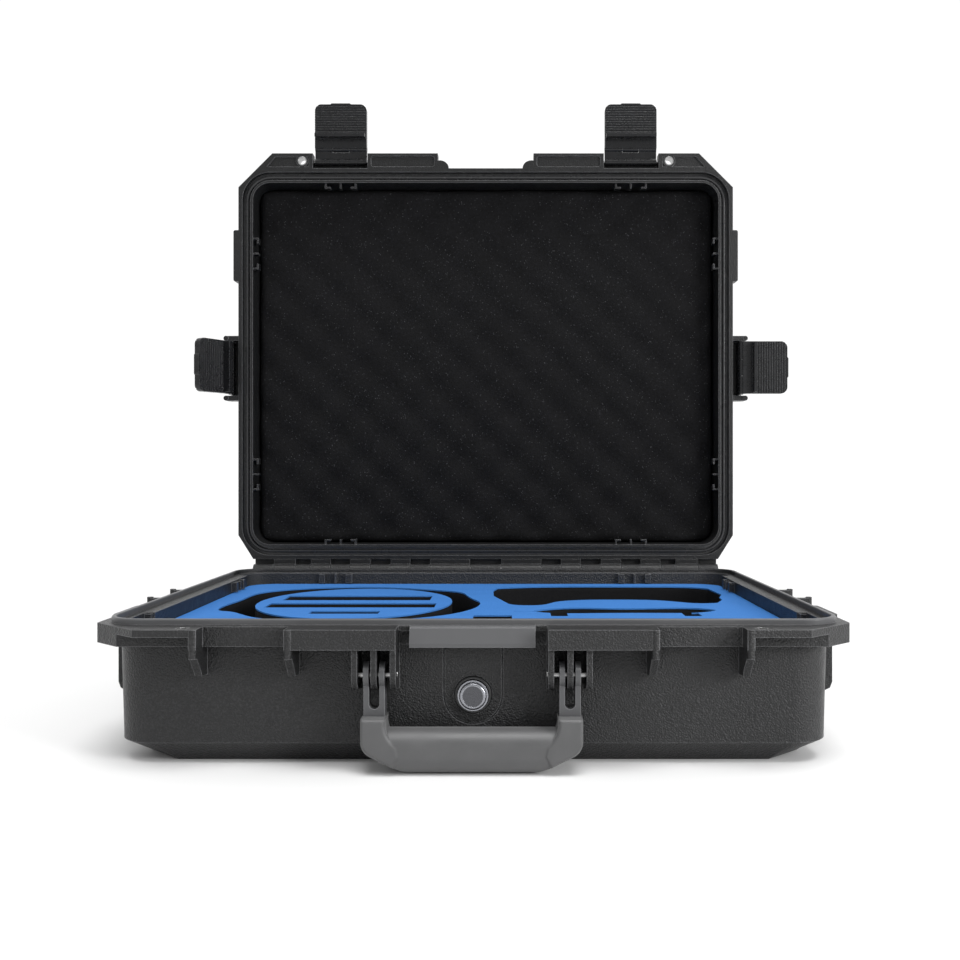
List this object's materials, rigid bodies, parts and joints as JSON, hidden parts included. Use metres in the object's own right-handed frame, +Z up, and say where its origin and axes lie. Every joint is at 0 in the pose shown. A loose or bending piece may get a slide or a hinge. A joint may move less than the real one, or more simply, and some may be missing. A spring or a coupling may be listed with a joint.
{
  "type": "carrying case",
  "caption": "Open hard-shell drone carrying case with a cut foam insert, egg-crate lid foam, swing-out latches, a pressure valve and a folding grip handle.",
  "frame": {"origin": "the middle of the base's flat bottom face, under the centre of the flange outline", "axes": "+Z up, +Y from the front wall towards the hinge, +X to the right seen from the front"},
  "size_m": [0.5822, 0.4815, 0.562],
  "materials": {
    "shell": "fine pebbled moulded plastic",
    "latch_plastic": "satin moulded plastic",
    "steel": "bright drawn steel",
    "knob": "satin metallic",
    "black_plastic": "satin",
    "rubber_black": "soft satin",
    "grip_rubber": "soft matt overmould",
    "foam_black": "fine-celled foam",
    "foam_blue": "fine-celled foam"
  },
  "bodies": {
    "base": {"base_shell": "shell", "base_padlock_bushes": "steel", "hinge_pin_left": "steel", "hinge_pin_right": "steel", "handle_pin_left": "steel", "handle_pin_right": "steel", "valve_body": "black_plastic", "valve_o_ring": "rubber_black", "valve_nut": "black_plastic", "foam_floor": "foam_black", "foam_core": "foam_black", "foam_top_blue": "foam_blue", "foam_core_island": "foam_black", "foam_top_island": "foam_blue"},
    "lid": {"lid_shell": "shell", "lid_padlock_bushes": "steel", "lid_gasket": "rubber_black", "lid_foam": "foam_black", "latch_pin_front_left": "steel", "latch_pin_front_right": "steel", "latch_pin_side_left": "steel", "latch_pin_side_right": "steel"},
    "handle": {"handle_frame": "black_plastic", "handle_grip": "grip_rubber"},
    "valve_knob": {"valve_knob": "knob"},
    "link_front_left": {"latch_link_front_left": "latch_plastic", "latch_link_pin_front_left": "steel"},
    "lever_front_left": {"latch_lever_front_left": "latch_plastic"},
    "link_front_right": {"latch_link_front_right": "latch_plastic", "latch_link_pin_front_right": "steel"},
    "lever_front_right": {"latch_lever_front_right": "latch_plastic"},
    "link_side_left": {"latch_link_side_left": "latch_plastic", "latch_link_pin_side_left": "steel"},
    "lever_side_left": {"latch_lever_side_left": "latch_plastic"},
    "link_side_right": {"latch_link_side_right": "latch_plastic", "latch_link_pin_side_right": "steel"},
    "lever_side_right": {"latch_lever_side_right": "latch_plastic"}
  },
  "joints": [
    {"name": "lid_hinge", "type": "hinge", "parent": "base", "child": "lid", "pos_m": [0, 0.2075, 0.092], "axis": [1, 0, 0], "range_deg": [0, 90]},
    {"name": "handle_swing", "type": "hinge", "parent": "base", "child": "handle", "pos_m": [0, -0.198, 0.0615], "axis": [-1, 0, 0], "range_deg": [0, 110]},
    {"name": "valve_turn", "type": "hinge", "parent": "base", "child": "valve_knob", "pos_m": [0, -0.188, 0.0457], "axis": [0, -1, 0], "range_deg": [0, 270]},
    {"name": "link_turn_front_left", "type": "hinge", "parent": "lid", "child": "link_front_left", "pos_m": [-0.146, 0.2165, 0.504], "axis": [1, 0, 0], "range_deg": [-20, 90]},
    {"name": "lever_turn_front_left", "type": "hinge", "parent": "link_front_left", "child": "lever_front_left", "pos_m": [-0.146, 0.2165, 0.517], "axis": [1, 0, 0], "range_deg": [-95, 0]},
    {"name": "link_turn_front_right", "type": "hinge", "parent": "lid", "child": "link_front_right", "pos_m": [0.146, 0.2165, 0.504], "axis": [1, 0, 0], "range_deg": [-20, 90]},
    {"name": "lever_turn_front_right", "type": "hinge", "parent": "link_front_right", "child": "lever_front_right", "pos_m": [0.146, 0.2165, 0.517], "axis": [1, 0, 0], "range_deg": [-95, 0]},
    {"name": "link_turn_side_left", "type": "hinge", "parent": "lid", "child": "link_side_left", "pos_m": [-0.2565, 0.2165, 0.295], "axis": [0, 0, 1], "range_deg": [-110, 0]},
    {"name": "lever_turn_side_left", "type": "hinge", "parent": "link_side_left", "child": "lever_side_left", "pos_m": [-0.2565, 0.2035, 0.295], "axis": [0, 0, 1], "range_deg": [-65, 30]},
    {"name": "link_turn_side_right", "type": "hinge", "parent": "lid", "child": "link_side_right", "pos_m": [0.2565, 0.2165, 0.295], "axis": [0, 0, -1], "range_deg": [-110, 0]},
    {"name": "lever_turn_side_right", "type": "hinge", "parent": "link_side_right", "child": "lever_side_right", "pos_m": [0.2565, 0.2035, 0.295], "axis": [0, 0, -1], "range_deg": [-5, 90]}
  ]
}
